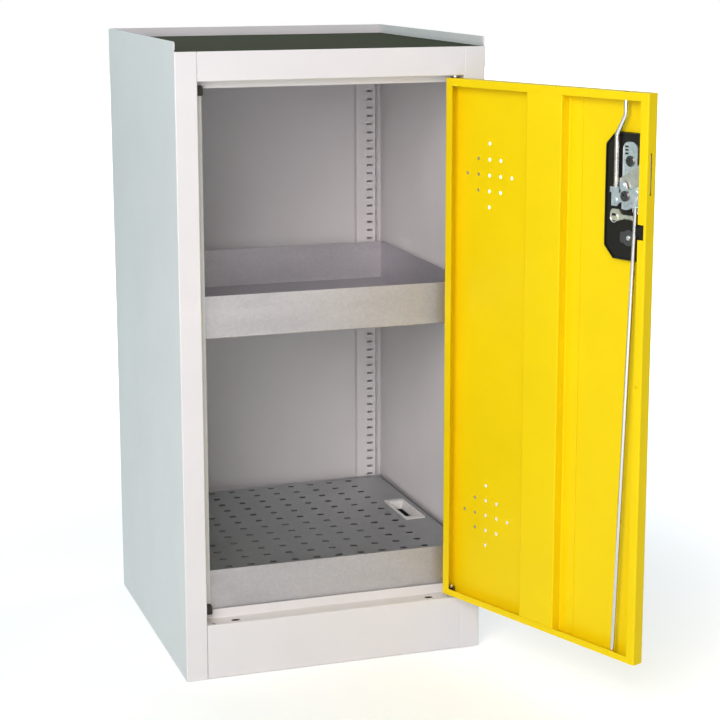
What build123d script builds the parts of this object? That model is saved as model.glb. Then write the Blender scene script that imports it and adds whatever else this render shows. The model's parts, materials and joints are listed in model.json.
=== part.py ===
from build123d import *
import os
from math import atan2, cos, radians, sin

os.makedirs("parts", exist_ok=True)

# Carcass sizes, in millimetres
cabinet_width = 500
cabinet_depth = 500
front_height = 995
rim_height = 15
rim_hem = 12
rim_setback = 4
rim_corner_radius = 5
carcass_sheet = 1
fold_radius = 2
post_width = 35
rail_height = 45
plinth_height = 90
stop_depth = 31
side_stop = 13
rail_stop = 12
plinth_stop = 15
plinth_foot = 20
rear_flange = 15
panel_flange = 16
base_rise = 11
floor_angle_leg = 25
floor_angle_thickness = 2

# Mat on the recessed top
mat_thickness = 3
mat_rib_height = 1
mat_rib_pitch = 6
mat_rib_width = 3.4
mat_rib_slope = 60
mat_gap = 0.5

# Slotted uprights and the clips hooked into them
upright_sheet = 1.5
rear_upright_width = 37
rear_upright_depth = 14
rear_upright_side_gap = 14
front_upright_width = 31
front_upright_depth = 12
upright_top_gap = 4
slot_length = 10.5
slot_height = 3.7
slot_pitch = 15
first_slot_rise = 10
rear_slot_from_wall = 26
front_slot_from_wall = 15.5
clip_sheet = 2
clip_side_play = 0.5
clip_arm = 28
clip_leg = 14
clip_hook = 6
clip_play = 0.3
clip_slot_number = 29

# Spill trays and the perforated grid in the lower one
tray_side_gap = 6
tray_depth = 442
tray_height = 68
tray_sheet = 1
tray_fold_radius = 2
tray_hem = 8
tray_from_stop = 4
grid_sheet = 1
grid_gap = 1
grid_below_rim = 2
grid_column_pitch = 37.5
grid_row_pitch = 37
grid_column_margin = 40
grid_row_margin = 10
grid_slot_length = 11
grid_slot_width = 8
grid_pattern_shift = -15
grip_from_wall = 32.8
grip_width = 37
grip_length = 117
grip_corner = 3
grip_hole_width = 20.5
grip_hole_length = 85
grip_collar = 3.5
grip_rim = 1.5
grip_skirt = 12
grip_gap = 0.3

# Door leaf
open_angle = 111
hinge_gap = 3
free_gap = 2
door_bottom_gap = 6
door_top_gap = 4
door_thickness = 20
door_sheet = 1
door_fold_radius = 2.5
hinge_lip = 15
free_lip = 14.5
top_lip = 12
bottom_lip = 10
pivot_inset = 9
pivot_depth = 8
stiffener_centre = 217
stiffener_width = 74
stiffener_flange = 28
stiffener_sheet = 1
stiffener_end_gap = 2
vent_diameter = 6
vent_pitch = 25
vent_inset = 82
vent_from_ends = 148.5
vent_column_counts = (1, 3, 5, 3, 1)

# Hinge pins, their bushes and the rubber bumpers
pin_diameter = 7
pin_head_diameter = 11
pin_head_height = 3
pin_reach = 14
pin_end_radius = 1.4
pin_running_clearance = 0.05
bush_wall = 2
bush_length = 10
bush_flange_wall = 4
bush_flange_thickness = 1
boss_diameter = 12
boss_height = 9
bumper_width = 10.5
bumper_height = 15
bumper_gap = 0.5
bumper_edge = 3
bumper_radius = 2

# Three-point lock. The cam's centre is set in from the door's free edge and down from its top, and
# the places that follow are measured from that centre: toward the free edge, then up
lock_backset = 43
lock_drop = 149.5
lock_turn = 42
rod_pin_radius = 21
bolt_pin_radius = 16
cam_pin_diameter = 5
slot_play = 0.35
layer_gap = 0.3
housing_rear = 8
base_plate_sheet = 1.5
bolt_sheet = 2
yoke_sheet = 2
cam_sheet = 2
cam_arm_width = 12
cam_hub_diameter = 22
cam_pin_head = 1.2
cam_pin_head_diameter = 7
cam_pin_set_back = 0.3
cam_quadrant_radius = 20
cam_quadrant_left = -7
cam_quadrant_top = 2
cam_slot_radius = 13.5
cam_slot_width = 1.8
cam_slot_start = -95
cam_slot_sweep = 50
rod_diameter = 7
rod_depth = 14
rod_backset = 48
rod_hole_length = 14
rod_hole_width = 10
rod_hole_round = 4.8
upper_rod_foot_offset = -20.5
upper_rod_bend_top = 34
upper_rod_bend_foot = 61
upper_rod_bend_radius = 14
rod_tip_inset = 2
rod_tongue_length = 26
rod_tongue_width = 14
rod_tongue_lap = 4
rod_block_width = 17.5
rod_block_height = 28
rod_block_head = 8
rod_block_below_pin = 9
rod_block_corner = 7
rod_block_hole = 2.5
guide_wall = 1.2
guide_length = 7
guide_running_clearance = 0.08
cutout_left = -46
cutout_right = 33
cutout_bottom = -94.5
cutout_top = 90.5
cutout_corner = 18
cutout_round = 6
cutout_small_round = 3
housing_gap = 0.3
housing_flange = 5
housing_flange_thickness = 2.5
housing_rim = 2
housing_rim_height = 2
housing_hub_draft = 10
handle_hub_diameter = 28
handle_hub_step = 1
handle_hub_height = 4
handle_length = 92
handle_tip_width = 16
handle_thickness = 14
handle_edge_radius = 3
handle_standoff = 6
spindle_diameter = 9
spindle_clearance = 0.1
spindle_hole_play = 1
cylinder_offset = (2, -61.5)
cylinder_diameter = 18
cylinder_face = 6
cylinder_rear = 1.8
cylinder_clearance = 0.1
cylinder_cam_diameter = 23.6
cylinder_cam_reach = 16.5
cylinder_cam_height = 16
cylinder_cam_round = 3
cylinder_ring_wall = 1.4
cylinder_ring_height = 0.4
cylinder_screw_diameter = 7
cylinder_screw_head = 2
keyway_length = 9
keyway_width = 2
keyway_depth = 6
side_bolt_tip_inset = 1.5
side_bolt_slot_width = 4
side_bolt_slot_bottom = 4.5
side_bolt_slot_top = 64.5
side_bolt_play = 2
side_bolt_left = -16
side_bolt_shoulder = 24
side_bolt_shoulder_cut = (6, 3)
side_bolt_ramp_end = (21, 47)
side_bolt_neck = 25
catch_offset = (24.5, -58.5)
catch_neck_width = 6.5
catch_neck_height = 13
catch_head_width = 7
catch_height = 19
catch_length = 10.5
catch_gap = 1.5
lip_hole_diameter = 5
plate_left = -13
plate_right = 15
plate_bottom = -17.5
plate_top = 77.5
plate_corner = 11
plate_slot_length = 7
plate_slot_height = 2.6
plate_slot_pitch = 5
plate_slot_drop = 12
plate_screw_offset = (2, 50)
plate_screw_diameter = 16
plate_screw_head = 2.4
screw_edge = 0.8
cross_recess_length = 8
cross_recess_width = 1.6
cross_recess_depth = 1.4
cam_screw_diameter = 15.5
cam_screw_head = 3
hex_socket_size = 6
hex_socket_depth = 1.8
key_peg_offset = (-26, -29.5)
key_peg_diameter = 4
key_peg_length = 6
key_thickness = 2
key_bow_diameter = 21
key_bow_flat = 8.5
key_collar_width = 9
key_collar_length = 5
key_blade_length = 26
key_blade_width = 6.5
key_cut_depth = 1.6
key_cut_pitch = 4
key_cut_count = 4
key_hang = 2
key_hole_play = 0.5
key_ring_radius = 7
key_ring_wire = 1.2

# Places that follow from the sizes above. The origin is the middle of the footprint, on the floor;
# the front faces -Y and the hinge is on the right.
half_width = cabinet_width / 2
half_depth = cabinet_depth / 2
wall_inside = half_width - carcass_sheet
back_inside = half_depth - 2 * carcass_sheet
post_edge = half_width - post_width
stop_front = stop_depth - half_depth
stop_rear = stop_front + carcass_sheet
rim_top = front_height + rim_height
opening_top = front_height - rail_height
top_surface = front_height - mat_thickness
base_top = plinth_height + base_rise

door_width = 2 * post_edge - hinge_gap - free_gap
door_bottom = plinth_height + door_bottom_gap
door_top = opening_top - door_top_gap
door_height = door_top - door_bottom
door_middle = (door_top + door_bottom) / 2
pivot_x = post_edge - hinge_gap - pivot_inset
pivot_y = pivot_depth - half_depth
lock_across = door_width - lock_backset
lock_height = door_top - lock_drop
rod_across = door_width - rod_backset
bolt_slot_bottom = lock_height + side_bolt_slot_bottom
bolt_slot_top = lock_height + side_bolt_slot_top
stop_bottom = plinth_height + plinth_stop
stop_top = opening_top - rail_stop

# The door stands open. On door_face the first direction runs from the hinge edge to the free edge,
# the second is up, and the normal points from the outer skin to the inner side.
along = Vector(-cos(radians(open_angle)), -sin(radians(open_angle)), 0)
outward = Vector(sin(radians(open_angle)), -cos(radians(open_angle)), 0)
door_corner = Vector(pivot_x, pivot_y, 0) - along * pivot_inset + outward * pivot_depth
door_face = Plane(origin=door_corner, x_dir=along, z_dir=outward * -1)


def on_door(across, height, depth):
    """Point of the open door, from its distances along, up and inward."""
    return door_corner + along * across + Vector(0, 0, height) - outward * depth


def door_plan(height):
    """Level plane through the door at a height: first direction along, second outward."""
    return Plane(origin=on_door(0, height, 0), x_dir=along, z_dir=(0, 0, 1))


# Side panels: one sheet each, from the rear flange round to the post, its inner fold and the stop
side_fold = [
    (-half_width + rear_flange, half_depth),
    (-half_width, half_depth),
    (-half_width, -half_depth),
    (-post_edge, -half_depth),
    (-post_edge, stop_front),
    (-post_edge + side_stop, stop_front),
]
with BuildPart() as left_side_panel:
    with BuildSketch():
        with BuildLine():
            FilletPolyline(*side_fold, radius=fold_radius)
            offset(amount=carcass_sheet, side=Side.LEFT)
        make_face()
    extrude(amount=rim_top)
    # The rim is the wall alone, hemmed inward, and starts a little behind the front
    with BuildSketch(Plane.XY.offset(front_height)):
        with Locations((-half_width, -half_depth)):
            Rectangle(2 * post_width, 2 * rim_setback)
        with Locations((-wall_inside, -half_depth)):
            Rectangle(post_width + side_stop, 2 * stop_depth, align=(Align.MIN, Align.CENTER))
    extrude(amount=rim_height, mode=Mode.SUBTRACT)
    with BuildSketch(Plane.XY.offset(rim_top - rim_hem)):
        with Locations((-wall_inside, rim_setback - half_depth)):
            hem_length = cabinet_depth - rim_setback - 4 * carcass_sheet
            Rectangle(carcass_sheet, hem_length, align=(Align.MIN, Align.MIN))
    extrude(amount=rim_hem)
    rim_front = left_side_panel.edges().filter_by(Axis.X).group_by(Axis.Z)[-1].sort_by(Axis.Y)[0]
    fillet(rim_front, radius=rim_corner_radius)
    # The inner fold stops under the top panel's flange, the stop between the rail and the plinth
    with BuildSketch(Plane.XY.offset(top_surface - panel_flange)):
        with Locations((-post_edge - fold_radius, carcass_sheet - half_depth)):
            Rectangle(side_stop + post_width, 2 * stop_depth, align=(Align.MIN, Align.MIN))
    extrude(amount=panel_flange + rim_height + mat_thickness, mode=Mode.SUBTRACT)
    for level, rise in ((0, stop_bottom), (stop_top, front_height - stop_top)):
        with BuildSketch(Plane.XY.offset(level)):
            with Locations((-post_edge, stop_front)):
                Rectangle(2 * side_stop, 2 * fold_radius, align=(Align.MIN, Align.CENTER))
        extrude(amount=rise, mode=Mode.SUBTRACT)
    # Slot for the side bolt
    bolt_depth = housing_rear + base_plate_sheet + layer_gap + bolt_sheet / 2
    with BuildSketch(Plane.YZ.offset(-post_edge)):
        with Locations((bolt_depth - half_depth, (bolt_slot_bottom + bolt_slot_top) / 2)):
            slot_reach = bolt_slot_top - bolt_slot_bottom + 2 * side_bolt_play
            Rectangle(side_bolt_slot_width + side_bolt_play, slot_reach)
    extrude(amount=-2 * carcass_sheet, mode=Mode.SUBTRACT)
left_side_panel.part.label = "left_side_panel"
export_step(left_side_panel.part, "parts/left_side_panel.step")

with BuildPart() as right_side_panel:
    mirror(left_side_panel.part, about=Plane.YZ)
right_side_panel.part.label = "right_side_panel"
export_step(right_side_panel.part, "parts/right_side_panel.step")

# Back panel: a flat sheet behind the uprights, with a hemmed rim
with BuildPart() as back_panel:
    with BuildSketch(Plane.XZ.offset(carcass_sheet - half_depth)):
        Rectangle(cabinet_width - 2 * fold_radius, rim_top, align=(Align.CENTER, Align.MIN))
    extrude(amount=carcass_sheet)
    with BuildSketch(Plane.XZ.offset(-back_inside)):
        with Locations((0, rim_top)):
            Rectangle(cabinet_width - 4 * fold_radius, rim_hem, align=(Align.CENTER, Align.MAX))
    extrude(amount=carcass_sheet)
back_panel.part.label = "back_panel"
export_step(back_panel.part, "parts/back_panel.step")

# Top panel: a shallow pan turned upside down, under the mat
with BuildPart() as top_panel:
    with BuildSketch(Plane.XY.offset(top_surface - panel_flange)):
        with Locations((0, carcass_sheet - half_depth)):
            pan_depth = back_inside + half_depth - carcass_sheet
            Rectangle(2 * wall_inside, pan_depth, align=(Align.CENTER, Align.MIN))
    extrude(amount=panel_flange)
    fillet(top_panel.edges().filter_by(Axis.Z), radius=fold_radius)
    offset(amount=-carcass_sheet, openings=top_panel.faces().sort_by(Axis.Z)[0])
top_panel.part.label = "top_panel"
export_step(top_panel.part, "parts/top_panel.step")

# Base panel: a like pan behind the plinth, which carries the lower tray
with BuildPart() as base_panel:
    with BuildSketch(Plane.XY.offset(base_top - panel_flange)):
        with Locations((0, stop_rear)):
            Rectangle(2 * wall_inside, back_inside - stop_rear, align=(Align.CENTER, Align.MIN))
    extrude(amount=panel_flange)
    fillet(base_panel.edges().filter_by(Axis.Z), radius=fold_radius)
    offset(amount=-carcass_sheet, openings=base_panel.faces().sort_by(Axis.Z)[0])
base_panel.part.label = "base_panel"
export_step(base_panel.part, "parts/base_panel.step")

# Floor frame: a ring of steel angle inside the panels, which stands on the floor with their edges
with BuildPart() as floor_frame:
    frame_depth = back_inside - stop_rear
    frame_middle = (back_inside + stop_rear) / 2
    with BuildSketch():
        with Locations((0, frame_middle)):
            Rectangle(2 * wall_inside, frame_depth)
            Rectangle(
                2 * wall_inside - 2 * floor_angle_leg,
                frame_depth - 2 * floor_angle_leg,
                mode=Mode.SUBTRACT,
            )
    extrude(amount=floor_angle_thickness)
    with BuildSketch():
        with Locations((0, frame_middle)):
            Rectangle(2 * wall_inside, frame_depth)
            Rectangle(
                2 * wall_inside - 2 * floor_angle_thickness,
                frame_depth - 2 * floor_angle_thickness,
                mode=Mode.SUBTRACT,
            )
    extrude(amount=floor_angle_leg)
floor_frame.part.label = "floor_frame"
export_step(floor_frame.part, "parts/floor_frame.step")

# Holes in the folds above and below the door, on both sides, so that the door can be hung on either
fold_holes = [(side * pivot_x, pivot_y) for side in (-1, 1)]
rod_x = half_width - post_width - hinge_gap - rod_across
rod_holes = [(side * rod_x, rod_depth - half_depth) for side in (-1, 1)]
pin_hole_diameter = pin_diameter + 2 * pin_running_clearance

# Front top rail: face, underside fold and downward stop
with BuildPart() as front_top_rail:
    with BuildSketch(Plane.YZ.offset(-post_edge)):
        with BuildLine():
            FilletPolyline(
                (-half_depth, front_height),
                (-half_depth, opening_top),
                (stop_front, opening_top),
                (stop_front, stop_top),
                radius=fold_radius,
            )
            offset(amount=carcass_sheet, side=Side.LEFT)
        make_face()
    extrude(amount=2 * post_edge)
    with BuildSketch(Plane.XY.offset(opening_top)):
        with Locations(*fold_holes):
            Circle(pin_hole_diameter / 2)
        with Locations(*rod_holes):
            RectangleRounded(rod_hole_length, rod_hole_width, rod_hole_round)
    extrude(amount=carcass_sheet, mode=Mode.SUBTRACT)
front_top_rail.part.label = "front_top_rail"
export_step(front_top_rail.part, "parts/front_top_rail.step")

# Plinth: upward stop, top fold, face and foot
with BuildPart() as plinth:
    with BuildSketch(Plane.YZ.offset(-post_edge)):
        with BuildLine():
            FilletPolyline(
                (stop_front, stop_bottom),
                (stop_front, plinth_height),
                (-half_depth, plinth_height),
                (-half_depth, 0),
                (plinth_foot - half_depth, 0),
                radius=fold_radius,
            )
            offset(amount=carcass_sheet, side=Side.LEFT)
        make_face()
    extrude(amount=2 * post_edge)
    with BuildSketch(Plane.XY.offset(plinth_height)):
        with Locations(*fold_holes):
            Circle(pin_hole_diameter / 2)
        with Locations(*rod_holes):
            RectangleRounded(rod_hole_length, rod_hole_width, rod_hole_round)
    extrude(amount=-carcass_sheet, mode=Mode.SUBTRACT)
plinth.part.label = "plinth"
export_step(plinth.part, "parts/plinth.step")

# Slotted uprights: open channels, two against the back panel and two behind the posts
upright_top = top_surface - panel_flange - upright_top_gap
upright_height = upright_top - base_top
first_slot = base_top + first_slot_rise
slot_count = int((upright_height - 2 * first_slot_rise) // slot_pitch) + 1
middle_slot = first_slot + slot_pitch * (slot_count - 1) / 2
rear_web = back_inside - rear_upright_depth
front_web = stop_front - carcass_sheet
rear_outer = wall_inside - rear_upright_side_gap
with BuildPart() as rear_right_upright:
    with BuildSketch(Plane.XY.offset(base_top)):
        with BuildLine():
            FilletPolyline(
                (rear_outer - rear_upright_width, back_inside),
                (rear_outer - rear_upright_width, rear_web),
                (rear_outer, rear_web),
                (rear_outer, back_inside),
                radius=fold_radius,
            )
            offset(amount=upright_sheet, side=Side.LEFT)
        make_face()
    extrude(amount=upright_height)
    with BuildSketch(Plane.XZ.offset(-rear_web)):
        with Locations((wall_inside - rear_slot_from_wall, middle_slot)):
            with GridLocations(slot_length, slot_pitch, 1, slot_count):
                Rectangle(slot_length, slot_height)
    extrude(amount=-upright_sheet, mode=Mode.SUBTRACT)
rear_right_upright.part.label = "rear_right_upright"
export_step(rear_right_upright.part, "parts/rear_right_upright.step")

with BuildPart() as rear_left_upright:
    mirror(rear_right_upright.part, about=Plane.YZ)
rear_left_upright.part.label = "rear_left_upright"
export_step(rear_left_upright.part, "parts/rear_left_upright.step")

with BuildPart() as front_right_upright:
    with BuildSketch(Plane.XY.offset(base_top)):
        with BuildLine():
            FilletPolyline(
                (wall_inside, front_web - front_upright_depth),
                (wall_inside, front_web),
                (wall_inside - front_upright_width, front_web),
                (wall_inside - front_upright_width, front_web - front_upright_depth),
                radius=fold_radius,
            )
            offset(amount=upright_sheet, side=Side.LEFT)
        make_face()
    extrude(amount=upright_height)
    with BuildSketch(Plane.XZ.offset(-front_web)):
        with Locations((wall_inside - front_slot_from_wall, middle_slot)):
            with GridLocations(slot_length, slot_pitch, 1, slot_count):
                Rectangle(slot_length, slot_height)
    extrude(amount=upright_sheet, mode=Mode.SUBTRACT)
front_right_upright.part.label = "front_right_upright"
export_step(front_right_upright.part, "parts/front_right_upright.step")

with BuildPart() as front_left_upright:
    mirror(front_right_upright.part, about=Plane.YZ)
front_left_upright.part.label = "front_left_upright"
export_step(front_left_upright.part, "parts/front_left_upright.step")

# Shelf clips: a ledge through the slot, a hook behind the web and a leg in front of it
clip_width = slot_length - 2 * clip_side_play
clip_top = first_slot + slot_pitch * clip_slot_number + clip_sheet / 2
tray_floor_upper = clip_top
with BuildPart() as shelf_clips:
    for web, inward, from_wall in (
        (rear_web, -1, rear_slot_from_wall),
        (front_web, 1, front_slot_from_wall),
    ):
        near_edge = web + inward * clip_play
        hook_edge = web - inward * (upright_sheet + clip_play)
        for side in (-1, 1):
            clip_x = side * (wall_inside - from_wall)
            with BuildSketch(Plane.YZ.offset(clip_x)) as clip_profile:
                with BuildLine():
                    Polyline(
                        (near_edge + inward * clip_arm, clip_top),
                        (hook_edge, clip_top),
                        (hook_edge, clip_top + clip_hook),
                        (hook_edge - inward * clip_sheet, clip_top + clip_hook),
                        (hook_edge - inward * clip_sheet, clip_top - clip_sheet),
                        (near_edge, clip_top - clip_sheet),
                        (near_edge, clip_top - clip_leg),
                        (near_edge + inward * clip_sheet, clip_top - clip_leg),
                        (near_edge + inward * clip_sheet, clip_top - clip_sheet),
                        (near_edge + inward * clip_arm, clip_top - clip_sheet),
                        close=True,
                    )
                make_face()
            extrude(amount=clip_width / 2, both=True)
shelf_clips.part.label = "shelf_clips"
export_step(shelf_clips.part, "parts/shelf_clips.step")

# Spill trays: folded pans with a hemmed upper edge
tray_width = 2 * (wall_inside - tray_side_gap)
tray_front = stop_rear + tray_from_stop
tray_middle = tray_front + tray_depth / 2
for tray_name, tray_floor in (("upper_tray", tray_floor_upper), ("lower_tray", base_top)):
    with BuildPart() as tray:
        with BuildSketch(Plane.XY.offset(tray_floor)):
            with Locations((0, tray_middle)):
                Rectangle(tray_width, tray_depth)
        extrude(amount=tray_height)
        fillet(tray.edges().filter_by(Axis.Z), radius=tray_fold_radius)
        fillet(tray.faces().sort_by(Axis.Z)[0].edges(), radius=tray_fold_radius)
        offset(amount=-tray_sheet, openings=tray.faces().sort_by(Axis.Z)[-1])
        with BuildSketch(Plane.XY.offset(tray_floor + tray_height)):
            with Locations((0, tray_middle)):
                RectangleRounded(
                    tray_width - tray_sheet, tray_depth - tray_sheet, tray_fold_radius
                )
                Rectangle(
                    tray_width - 4 * tray_sheet, tray_depth - 4 * tray_sheet, mode=Mode.SUBTRACT
                )
        extrude(amount=-tray_hem)
    tray.part.label = tray_name
    export_step(tray.part, f"parts/{tray_name}.step")

# Perforated grid: a pan upside down that stands on the lower tray's floor
grid_top = base_top + tray_height - grid_below_rim
grid_floor = base_top + tray_sheet
grid_width = tray_width - 4 * tray_sheet - 2 * grid_gap
grid_depth = tray_depth - 4 * tray_sheet - 2 * grid_gap
grid_columns = int((grid_width - 2 * grid_column_margin) // grid_column_pitch) + 1
grid_rows = int((grid_depth - 2 * grid_row_margin) // grid_row_pitch) + 1
grip_x = wall_inside - grip_from_wall - tray_side_gap
with BuildPart() as tray_grid:
    with BuildSketch(Plane.XY.offset(grid_floor)):
        with Locations((0, tray_middle)):
            Rectangle(grid_width, grid_depth)
    extrude(amount=grid_top - grid_floor)
    fillet(tray_grid.edges().filter_by(Axis.Z), radius=tray_fold_radius + tray_sheet)
    fillet(tray_grid.faces().sort_by(Axis.Z)[-1].edges(), radius=tray_fold_radius)
    offset(amount=-grid_sheet, openings=tray_grid.faces().sort_by(Axis.Z)[0])
    with BuildSketch(Plane.XY.offset(grid_top)):
        with Locations((grid_pattern_shift, tray_middle)):
            with GridLocations(grid_column_pitch, grid_row_pitch, grid_columns, grid_rows):
                Rectangle(grid_slot_length, grid_slot_width)
        with Locations((grip_x, tray_middle)):
            Rectangle(
                grip_hole_width + 2 * grip_collar + 2 * grip_gap,
                grip_hole_length + 2 * grip_collar + 2 * grip_gap,
            )
    extrude(amount=-grid_sheet, mode=Mode.SUBTRACT)
tray_grid.part.label = "tray_grid"
export_step(tray_grid.part, "parts/tray_grid.step")

# Grip frame: a moulded collar in the grid, with a rim on top and sloped inner sides
with BuildPart() as grid_grip_frame:
    with BuildSketch(Plane.XY.offset(grid_top)):
        with Locations((grip_x, tray_middle)):
            RectangleRounded(grip_width, grip_length, grip_corner)
    extrude(amount=grip_rim)
    with BuildSketch(Plane.XY.offset(grid_top)):
        with Locations((grip_x, tray_middle)):
            Rectangle(grip_hole_width + 2 * grip_collar, grip_hole_length + 2 * grip_collar)
    extrude(amount=-grip_skirt)
    with BuildSketch(Plane.XY.offset(grid_top + grip_rim)):
        with Locations((grip_x, tray_middle)):
            Rectangle(grip_hole_width + 2 * grip_collar, grip_hole_length + 2 * grip_collar)
    with BuildSketch(Plane.XY.offset(grid_top - grip_skirt)):
        with Locations((grip_x, tray_middle)):
            Rectangle(grip_hole_width, grip_hole_length)
    loft(mode=Mode.SUBTRACT)
grid_grip_frame.part.label = "grid_grip_frame"
export_step(grid_grip_frame.part, "parts/grid_grip_frame.step")

# Ribbed rubber mat: ribs run from side to side
mat_front = carcass_sheet - half_depth + mat_gap
mat_rear = back_inside - carcass_sheet - mat_gap
mat_half_width = wall_inside - carcass_sheet - mat_gap
rib_count = int((mat_rear - mat_front) // mat_rib_pitch)
with BuildPart() as rubber_mat:
    with BuildSketch(Plane.YZ.offset(-mat_half_width)):
        with Locations(((mat_front + mat_rear) / 2, top_surface)):
            Rectangle(
                mat_rear - mat_front, mat_thickness - mat_rib_height, align=(Align.CENTER, Align.MIN)
            )
        with Locations(((mat_front + mat_rear) / 2, front_height - mat_rib_height / 2)):
            with GridLocations(mat_rib_pitch, mat_rib_height, rib_count, 1):
                Trapezoid(mat_rib_width, mat_rib_height, mat_rib_slope)
    extrude(amount=2 * mat_half_width)
rubber_mat.part.label = "rubber_mat"
export_step(rubber_mat.part, "parts/rubber_mat.step")

# Outline of the lock's cut-out, drawn larger or smaller by a margin
cutout_middle = (
    lock_across + (cutout_left + cutout_right) / 2,
    lock_height + (cutout_bottom + cutout_top) / 2,
)
cutout_width = cutout_right - cutout_left
cutout_height = cutout_top - cutout_bottom


def lock_outline(margin):
    """Tall panel with its two corners away from the free edge cut, larger by the margin all round."""
    with BuildSketch() as outline:
        Rectangle(cutout_width + 2 * margin, cutout_height + 2 * margin)
        fillet(outline.vertices().group_by(Axis.X)[-1], radius=cutout_small_round + margin / 2)
        chamfer(outline.vertices().group_by(Axis.X)[0], length=cutout_corner + margin / 2)
        fillet(outline.vertices().group_by(Axis.X)[0], radius=cutout_round)
    return outline.sketch


# Cam pins, at rest with the rods drawn in; the lock turns clockwise, seen from inside, to bolt
rest_tilt = lock_turn / 2
left_pin = (
    lock_across - rod_pin_radius * cos(radians(rest_tilt)),
    lock_height - rod_pin_radius * sin(radians(rest_tilt)),
)
right_pin = (
    lock_across + rod_pin_radius * cos(radians(rest_tilt)),
    lock_height + rod_pin_radius * sin(radians(rest_tilt)),
)
bolt_pin = (
    lock_across - bolt_pin_radius * sin(radians(rest_tilt)),
    lock_height + bolt_pin_radius * cos(radians(rest_tilt)),
)
rod_pin_drift = rod_pin_radius * (1 - cos(radians(rest_tilt)))
bolt_pin_drift = bolt_pin_radius * (1 - cos(radians(rest_tilt)))
rod_stroke = 2 * rod_pin_radius * sin(radians(rest_tilt))
bolt_stroke = 2 * bolt_pin_radius * sin(radians(rest_tilt))

# The lower rod leans from the right cam pin to its guide in the door's bottom fold
lower_rod_lean = atan2(right_pin[0] - rod_across, right_pin[1] - door_bottom)
lower_rod_down = along * -sin(lower_rod_lean) + Vector(0, 0, -cos(lower_rod_lean))
lower_pin_slip = rod_pin_drift + rod_stroke * sin(lower_rod_lean)

# Layers of the lock, as depths from the door's outer skin
base_plate_top = housing_rear + base_plate_sheet
bolt_floor = base_plate_top + layer_gap
yoke_floor = bolt_floor + bolt_sheet + layer_gap
cam_floor = yoke_floor + yoke_sheet + layer_gap
cam_top = cam_floor + cam_sheet

# Where the catch stands beside the free lip, and the notch that clears it
catch_left = lock_across + catch_offset[0]
catch_right = catch_left + catch_neck_width + catch_head_width
catch_middle = (catch_left + catch_neck_width, lock_height + catch_offset[1] + catch_height / 2)

# Door leaf: a pan with lips folded back along its four inner edges
guide_hole_diameter = rod_diameter + 2 * guide_wall
bush_diameter = pin_diameter + 2 * pin_running_clearance + 2 * bush_wall
with BuildPart() as door_panel:
    with BuildSketch(door_face):
        with Locations((door_width / 2, door_middle)):
            Rectangle(door_width, door_height)
    extrude(amount=door_thickness)
    fillet(door_panel.edges().filter_by(Axis.Z), radius=door_fold_radius)
    with BuildSketch(door_face.offset(door_sheet)):
        with Locations((door_width / 2, door_middle)):
            Rectangle(door_width - 2 * door_sheet, door_height - 2 * door_sheet)
    extrude(amount=door_thickness - 2 * door_sheet, mode=Mode.SUBTRACT)
    with BuildSketch(door_face.offset(door_thickness - door_sheet)):
        with Locations((hinge_lip, door_bottom + bottom_lip)):
            Rectangle(
                door_width - hinge_lip - free_lip,
                door_height - bottom_lip - top_lip,
                align=(Align.MIN, Align.MIN),
            )
        # Notch in the free lip beside the lock's catch
        with Locations((door_width - free_lip, catch_middle[1])):
            Rectangle(
                2 * (catch_right - door_width + free_lip + catch_gap), catch_height + 2 * catch_gap
            )
        with Locations((door_width - free_lip * 2 / 3, door_middle)):
            Circle(lip_hole_diameter / 2)
    extrude(amount=door_sheet, mode=Mode.SUBTRACT)
    # Perforations in two diamonds, and the lock's cut-out
    with BuildSketch(door_face):
        for vent_middle in (door_bottom + vent_from_ends, door_top - vent_from_ends):
            for column, holes in enumerate(vent_column_counts):
                column_place = vent_inset + (column - len(vent_column_counts) // 2) * vent_pitch
                with Locations((column_place, vent_middle)):
                    with GridLocations(vent_pitch, vent_pitch, 1, holes):
                        Circle(vent_diameter / 2)
        with Locations(cutout_middle):
            add(lock_outline(0))
    extrude(amount=door_sheet, mode=Mode.SUBTRACT)
    # Hinge bush and rod guide holes in the top and bottom folds
    for level, rise in ((door_bottom, door_sheet), (door_top, -door_sheet)):
        with BuildSketch(door_plan(level)):
            with Locations((pivot_inset, -pivot_depth)):
                Circle(bush_diameter / 2)
            with Locations((rod_across, -rod_depth)):
                Circle(guide_hole_diameter / 2)
        extrude(amount=rise, mode=Mode.SUBTRACT)
    # Slot in the free edge for the side bolt
    slot_middle = (bolt_slot_bottom + bolt_slot_top) / 2
    with BuildSketch(Plane(on_door(door_width, slot_middle, bolt_depth), x_dir=outward, z_dir=along)):
        Rectangle(side_bolt_slot_width, bolt_slot_top - bolt_slot_bottom)
    extrude(amount=-2 * door_sheet, mode=Mode.SUBTRACT)
door_panel.part.label = "door_panel"
export_step(door_panel.part, "parts/door_panel.step")

# Door stiffener: a hat profile welded to the outer skin
with BuildPart() as door_stiffener:
    with BuildSketch(door_plan(door_bottom + door_sheet + stiffener_end_gap)):
        with BuildLine():
            hat_depth = door_thickness - door_sheet
            hat_left = stiffener_centre - stiffener_width / 2
            hat_right = stiffener_centre + stiffener_width / 2
            FilletPolyline(
                (hat_left - stiffener_flange, -door_sheet - stiffener_sheet),
                (hat_left, -door_sheet - stiffener_sheet),
                (hat_left, -hat_depth),
                (hat_right, -hat_depth),
                (hat_right, -door_sheet - stiffener_sheet),
                (hat_right + stiffener_flange, -door_sheet - stiffener_sheet),
                radius=fold_radius,
            )
            offset(amount=stiffener_sheet, side=Side.LEFT)
        make_face()
    extrude(amount=door_height - 2 * door_sheet - 2 * stiffener_end_gap)
door_stiffener.part.label = "door_stiffener"
export_step(door_stiffener.part, "parts/door_stiffener.step")

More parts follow.
